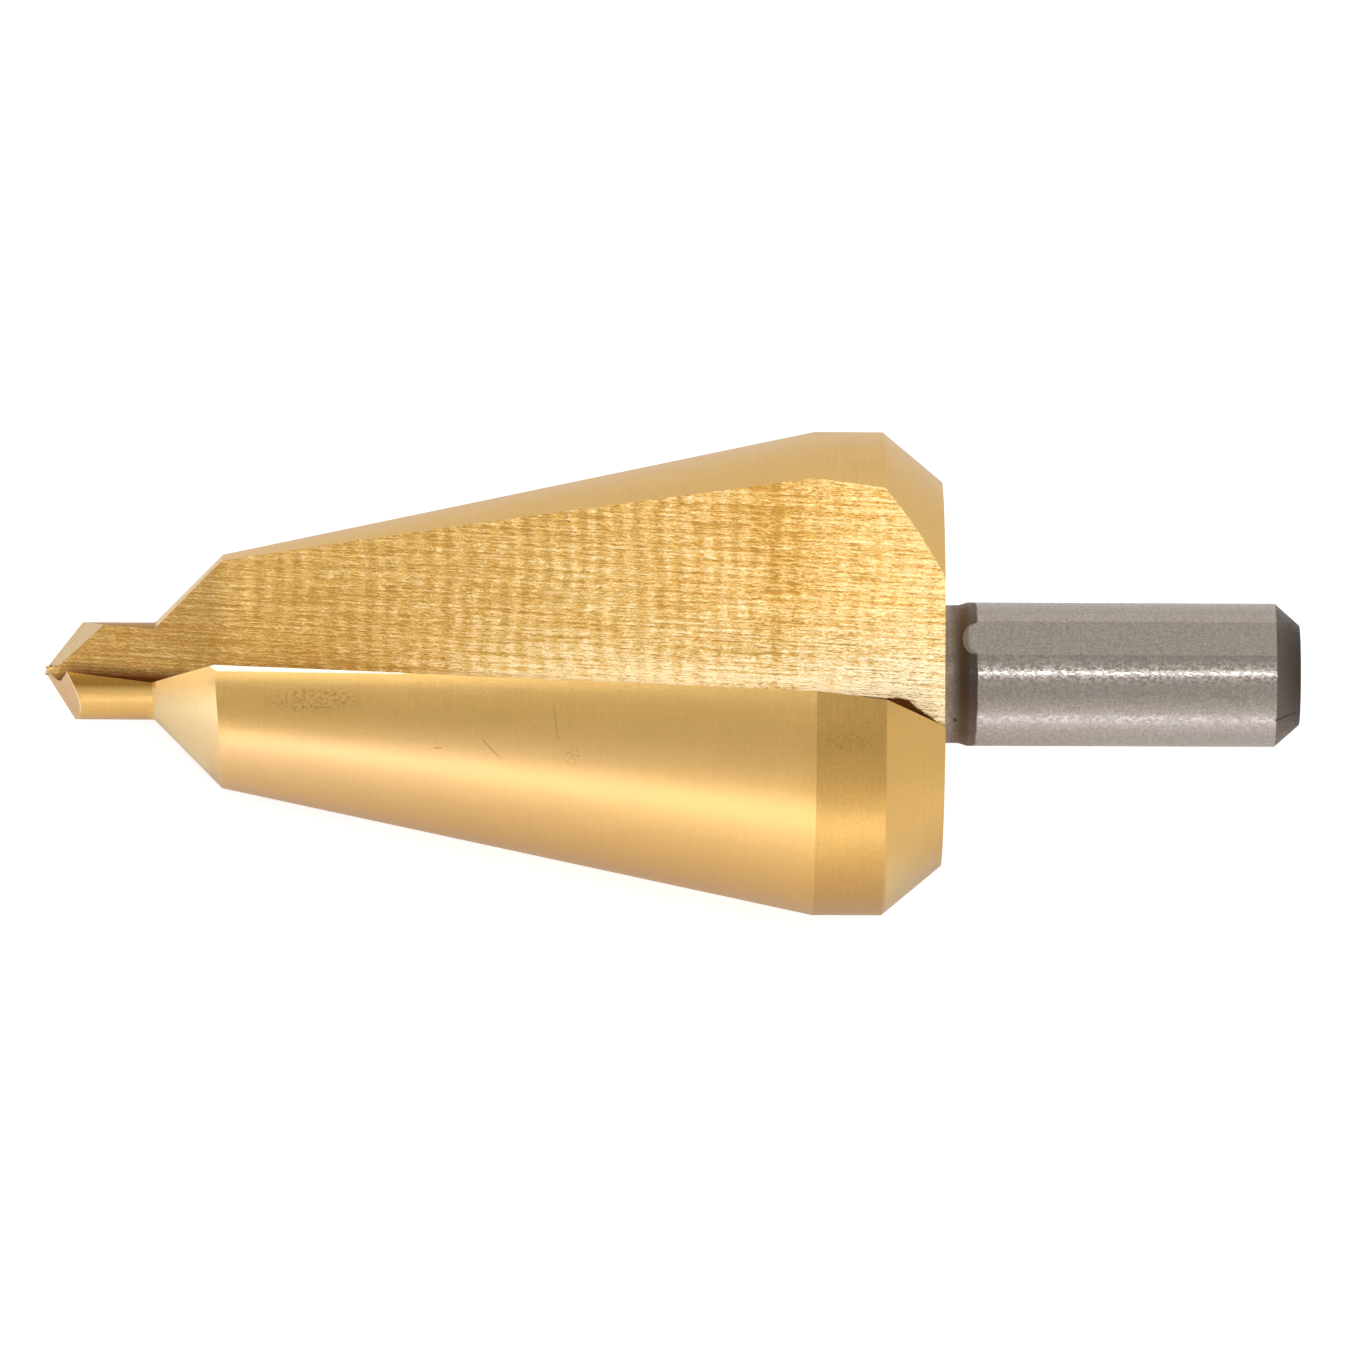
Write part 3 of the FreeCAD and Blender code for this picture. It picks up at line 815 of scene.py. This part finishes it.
def point_gold(sizes, finish):
    """Coating on the ground facets of the point, with coarse grinding lines.

    The upper facets are painted paler as lit, and a painted glint runs along the pilot's edge.
    """
    shader = Shader("point_gold")
    _, across, up = shader.parts(shader.place(sizes))
    lines = shader.noise(shader.place(sizes, (3.0, 3.0, 12.0)), detail=3.0)
    from_rim = shader.reach(across, up) - sizes.pilot_diameter / 2 / MM
    rim_glint = shader.clamp((from_rim + 0.16) * 12) * shader.clamp((across + 2.7) * 3)
    # Painted light over the grinding lines: paler upper facets and a glint by the pilot's edge.
    pale = shader.clamp(lines * 0.5 + shader.above(across, 0.0) * 0.70 + rim_glint * 0.8)
    colour = shader.blend(pale, shade(finish.ground, 0.73, 0.67, 0.76),
                          shade(finish.ground, 1.08, 1.36, 2.5))
    return shader.metal(colour, 0.36, shader.bump(lines, 0.000012))


def shank_skin(shader, sizes, place, head_end):
    """Where the shank keeps its dark skin, and the bare end of the flat, each from 0 to 1.

    The skin lies round the neck and on the end chamfer. The driving flat is ground free of it,
    and so is a rounded patch at the flat's end.
    """
    along, across, up = place
    wander = (shader.noise(shader.place(sizes, (0.3, 0.4, 0.4))) - 0.5) * 0.4
    neck = shader.ramp((along + wander - head_end) / 3.0,
                       [(0.0, 0.12), (0.16, 0.25), (0.30, 0.85), (0.42, 1.0), (0.70, 1.0),
                        (0.73, 0.0)])
    depth = SHANK_RADIUS / MM - shader.reach(across, up)
    ground = shader.ramp(depth * 20 - 10 * shader.under(along, head_end + RAMP_GROUND),
                         [(0.05, 0.0), (0.3, 1.0)])
    first = (along - (head_end + BARE_END[0])) / BARE_REACH[0]
    second = (across - BARE_END[1]) / BARE_REACH[1]
    patch = shader.clamp((1 - first * first - second * second) * 6)
    bare = patch * (1 - ground) * shader.above(up, 0.0)
    past = along - (sizes.overall - sizes.end_length) / MM
    chamfer = shader.above(past, 0.0) * (0.82 + past * 0.12)
    skin = shader.clamp(shader.maths("MAXIMUM", neck * (1 - ground - bare), chamfer))
    return skin, bare


def shank_marks_and_shade(shader, sizes, place):
    """A spot on the neck and a score on the end chamfer; the chamfer is darker outwards, and
    it has painted shade on its upper side.
    """
    along, across, up = place
    spot = scratch(shader, along, across, (56.92, -2.86), (57.0, -2.88), 0.13)
    score = scratch(shader, along, across, (77.0, -2.82), (78.5, -2.25), 0.09)
    marks = shader.maths("MAXIMUM", spot, score) * shader.above(up, 0.0)
    # The end chamfer darker outwards, with painted shade on its upper side.
    past = along - (sizes.overall - sizes.end_length) / MM
    side = shader.clamp(past * 0.5 + across * 0.12 - 0.05) * shader.above(past, 0.0)
    return shader.maths("MAXIMUM", marks, side)


def bare_steel(shader, sizes, place, lines, grain, steel):
    """Ground steel with a fine grain and dark flecks, and painted shade in a strip below the flat.
    """
    _, across, up = place
    fleck = shader.noise(shader.place(sizes, (4.0, 9.0, 9.0)), detail=1.0)
    tone = shader.clamp((lines * 0.25 + grain * 0.75 - 0.5) * 3.6 + 0.5)
    # Painted shade in a strip below the flat.
    strip = shader.clamp((across - 0.5) * 1.4) * shader.under(across, 1.22)
    tone = shader.clamp(tone - strip * shader.above(up, 0.0) * 0.5)
    even = shader.blend(tone, shade(steel, 0.80), shade(steel, 1.18))
    return shader.blend(shader.clamp((fleck - 0.72) * 14) * 0.5, even, shade(steel, 0.45))


def shank_steel(sizes, finish):
    """Bare ground steel with a fine grain, and a dark skin round the neck and at the end.

    The skin carries a painted sheen, lighter towards the top and bottom silhouettes.
    """
    shader = Shader("shank_steel")
    place = shader.parts(shader.place(sizes))
    along, across, _ = place
    head_end = (sizes.cone_end + sizes.land_length + sizes.rear_length) / MM
    lines = shader.noise(shader.place(sizes, (11.0, 0.5, 0.5)), detail=4.0, roughness=0.7)
    grain = shader.noise(shader.place(sizes, (6.0, 7.0, 7.0)), detail=2.0, roughness=0.6)
    waves = shader.noise(shader.place(sizes, (3.0, 3.5, 3.5)), detail=1.0)
    glitter = shader.noise(shader.place(sizes, (3.2, 4.2, 4.2)), detail=2.0)
    skin, bare = shank_skin(shader, sizes, place, head_end)
    steel = shader.blend(bare, bare_steel(shader, sizes, place, lines, grain, finish.steel),
                         shade(finish.steel, 0.68, 0.71, 0.77))
    # Painted sheen: the dark skin lighter towards the top and bottom silhouettes.
    silhouette_sheen = shader.clamp(across * across * 0.0625)
    brown = shader.blend(silhouette_sheen, shade(finish.skin, 0.80), shade(finish.skin, 1.9))
    coated = shader.blend(skin, steel, brown)
    colour = shader.blend(shank_marks_and_shade(shader, sizes, place) * 0.8, coated,
                          shade(finish.skin, 0.3))
    dull = shader.clamp(skin + bare)
    neck = shader.clamp((head_end + 1.1 - along) * 2.0)
    lower_side = shader.clamp(across * -1.2 - 1.4)
    roughness = (0.07 + shader.clamp((glitter - 0.42) * 7) * 0.19 + lines * 0.05
                 + dull * 0.25 + neck * 0.25 + lower_side * 0.10)
    return shader.metal(colour, roughness, shader.bump(grain * 0.5 + waves, 0.000005),
                        1 - dull * 0.75)


class DRILL_OT_tool(bpy.types.Operator):
    """Builds the cone drill bit in its finishes, in place of the plain frame node"""

    bl_idname = "drill.tool"
    bl_label = "Build the drill bit"

    def execute(self, context):
        sizes = context.scene.drill_sizes
        finish = context.scene.drill_finish
        mesh = tool_mesh(sizes)
        same = (1.0, 1.0, 1.0)
        materials = {
            GROUND: ground_gold(sizes, finish, "ground_gold", (same, same), 1.0, 0.23),
            MILLED: milled_gold(sizes, finish),
            POINT: point_gold(sizes, finish),
            # The nose's paler tint is a painted reflection of the white floor; near the flute it is
            # darker.
            NOSE: ground_gold(sizes, finish, "nose_gold",
                              ((1.06, 1.27, 2.0), (0.80, 0.66, 0.46)), 0.7, 0.23),
            LAND: ground_gold(sizes, finish, "land_gold", ((0.82, 0.79, 0.71), same), 1.6, 0.25),
            STEEL: shank_steel(sizes, finish),
        }
        for slot in sorted(materials):
            mesh.materials.append(materials[slot])
        mesh.polygons.foreach_set("use_smooth", np.ones(len(mesh.polygons), dtype=bool))
        mesh.set_sharp_from_angle(angle=math.radians(9))
        tool = bpy.data.objects.new("cone_drill", mesh)
        context.collection.objects.link(tool)
        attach(tool, "root")
        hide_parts(NODE)
        return {"FINISHED"}


def flat_sheet(name, width, depth, height):
    """A level sheet about the origin."""
    across, along = width / 2, depth / 2
    mesh = bpy.data.meshes.new(name)
    mesh.from_pydata([(-across, -along, height), (across, -along, height),
                      (across, along, height), (-across, along, height)], [], [(0, 1, 2, 3)])
    made = bpy.data.objects.new(name, mesh)
    bpy.context.collection.objects.link(made)
    return made


def floor_material():
    """White to the camera and in reflections, with its shadow, and matt to other light."""
    shader = Shader("floor_white")
    camera, glossy = shader.rays("Is Camera Ray"), shader.rays("Is Glossy Ray")
    matt = shader.node("ShaderNodeBsdfDiffuse", None, {"Color": (0.85, 0.85, 0.85, 1.0)})
    glow = camera * 0.7 + glossy * 0.15
    white = shader.node("ShaderNodeEmission", None,
                        {"Color": shader.vector(glow, glow, glow), "Strength": 1.0})
    both = shader.node("ShaderNodeAddShader", None, {0: matt, 1: white})
    shader.node("ShaderNodeOutputMaterial", None, {"Surface": both})
    return shader.material


def room_light(world, away, below):
    """Even light, a little darker on the camera's side and brighter on the first land's side."""
    shader = Shader("room", world)
    direction = shader.node("ShaderNodeTexCoord", output=3)
    facing = shader.node("ShaderNodeVectorMath", {"operation": "DOT_PRODUCT"},
                         {0: direction, 1: away}, output=1)
    lower = shader.node("ShaderNodeVectorMath", {"operation": "DOT_PRODUCT"},
                        {0: direction, 1: below}, output=1)
    grey = shader.ramp(facing * 0.5 + 0.5, [(0.45, 0.75), (0.85, 0.52)])
    light = grey + shader.clamp(lower - 0.56) * 0.6
    colour = shader.blend(shader.rays("Is Camera Ray"), light, (1.0, 1.0, 1.0, 1.0))
    room = shader.node("ShaderNodeBackground", None, {"Color": colour, "Strength": 1.0})
    shader.node("ShaderNodeOutputWorld", None, {"Surface": room})


def lamp(name, place, target, side, width, depth, power, tint):
    """A soft lamp at a place, turned to a target, with its width along a side."""
    light = bpy.data.lights.new(name, "AREA")
    light.shape = "RECTANGLE"
    light.size = width
    light.size_y = depth
    light.energy = power
    light.color = tint
    made = bpy.data.objects.new(name, light)
    bpy.context.collection.objects.link(made)
    away = (place - target).normalized()
    up = away.cross(side).normalized()
    side = up.cross(away)
    turn = Matrix((side, up, away)).transposed().to_4x4()
    made.matrix_world = Matrix.Translation(place) @ turn
    return made


def tool_point(matrix, along, across, out):
    """A place in the world from millimetres in the tool's own frame."""
    return matrix @ (Vector((along, across, out)) * MM)


class DRILL_OT_stage(bpy.types.Operator):
    """Adds the pale floor, the soft lamps and the camera"""

    bl_idname = "drill.stage"
    bl_label = "Set the stage"

    def execute(self, context):
        sizes = context.scene.drill_sizes
        stage = context.scene.drill_stage
        matrix = tool_matrix(sizes)
        context.scene.view_settings.view_transform = "Standard"
        floor = flat_sheet("floor", 6.0, 6.0, 0.0)
        floor.data.materials.append(floor_material())

        world = bpy.data.worlds.new("room")
        context.scene.world = world
        axes = matrix.to_3x3()
        room_light(world, axes @ Vector((0, 0, 1)), axes @ Vector((0, -1, 0)))

        target = tool_point(matrix, 40, 0, 0)
        level = Vector((1, 0, 0))
        lamp("overhead", tool_point(matrix, -25, 70, 260), target, level, 0.065, 0.11, 0.055,
             (1.0, 1.0, 1.0))
        lamp("front_strip", tool_point(matrix, -20, 6.5, 520), target,
             axes @ Vector((1, 0.135, 0)), 0.62, 0.02, 0.27, (1.0, 1.1, 1.18))
        for name, spot, width, depth, power in (
                ("floor_wash", Vector((-0.04, -0.13, 0.25)), 0.22, 0.09, 0.145),
                ("tip_wash", Vector((-0.13, -0.03, 0.2)), 0.1, 0.12, 0.09)):
            wash = lamp(name, spot, spot - Vector((0, 0, 1)), level, width, depth, power,
                        (1.0, 1.04, 1.3))
            wash.data.spread = math.radians(40)

        self.add_camera(context, sizes, stage, matrix)
        return {"FINISHED"}

    def add_camera(self, context, sizes, stage, matrix):
        """Looks square at the first flute, with the tool's axis level in the picture."""
        camera = bpy.data.cameras.new("camera")
        camera.sensor_width = 36.0
        camera.lens = camera.sensor_width * stage.distance / stage.width
        camera.clip_end = 10.0
        made = bpy.data.objects.new("camera", camera)
        context.collection.objects.link(made)
        context.scene.camera = made
        centre = tool_point(matrix, stage.centre_along / MM, stage.centre_up / MM, 0)
        turn = (matrix.to_3x3() @ Matrix.Rotation(-stage.turn, 3, "Y")
                @ Matrix.Rotation(stage.tilt, 3, "Z"))
        away = turn @ Vector((0, 0, 1))
        made.matrix_world = Matrix.Translation(centre + away * stage.distance) @ turn.to_4x4()


class DRILL_PT_panel(bpy.types.Panel):
    """Lists the steps and the sizes"""

    bl_label = "Cone Drill"
    bl_idname = "DRILL_PT_panel"
    bl_space_type = "VIEW_3D"
    bl_region_type = "UI"
    bl_category = "Cone Drill"

    def draw(self, context):
        layout = self.layout
        layout.operator(DRILL_OT_tool.bl_idname)
        layout.operator(DRILL_OT_stage.bl_idname)
        for group in (context.scene.drill_sizes, context.scene.drill_finish,
                      context.scene.drill_stage):
            box = layout.box()
            for name in group.bl_rna.properties.keys():
                if name not in ("rna_type", "name"):
                    box.prop(group, name)


CLASSES = (DrillSizes, DrillFinish, DrillStage, DRILL_OT_tool, DRILL_OT_stage, DRILL_PT_panel)


def register():
    for item in CLASSES:
        bpy.utils.register_class(item)
    bpy.types.Scene.drill_sizes = bpy.props.PointerProperty(type=DrillSizes)
    bpy.types.Scene.drill_finish = bpy.props.PointerProperty(type=DrillFinish)
    bpy.types.Scene.drill_stage = bpy.props.PointerProperty(type=DrillStage)


def unregister():
    del bpy.types.Scene.drill_sizes
    del bpy.types.Scene.drill_finish
    del bpy.types.Scene.drill_stage
    for item in reversed(CLASSES):
        bpy.utils.unregister_class(item)


def main():
    """Builds everything in order."""
    register()
    bpy.ops.drill.tool()
    bpy.ops.drill.stage()


if __name__ == "__main__":
    main()
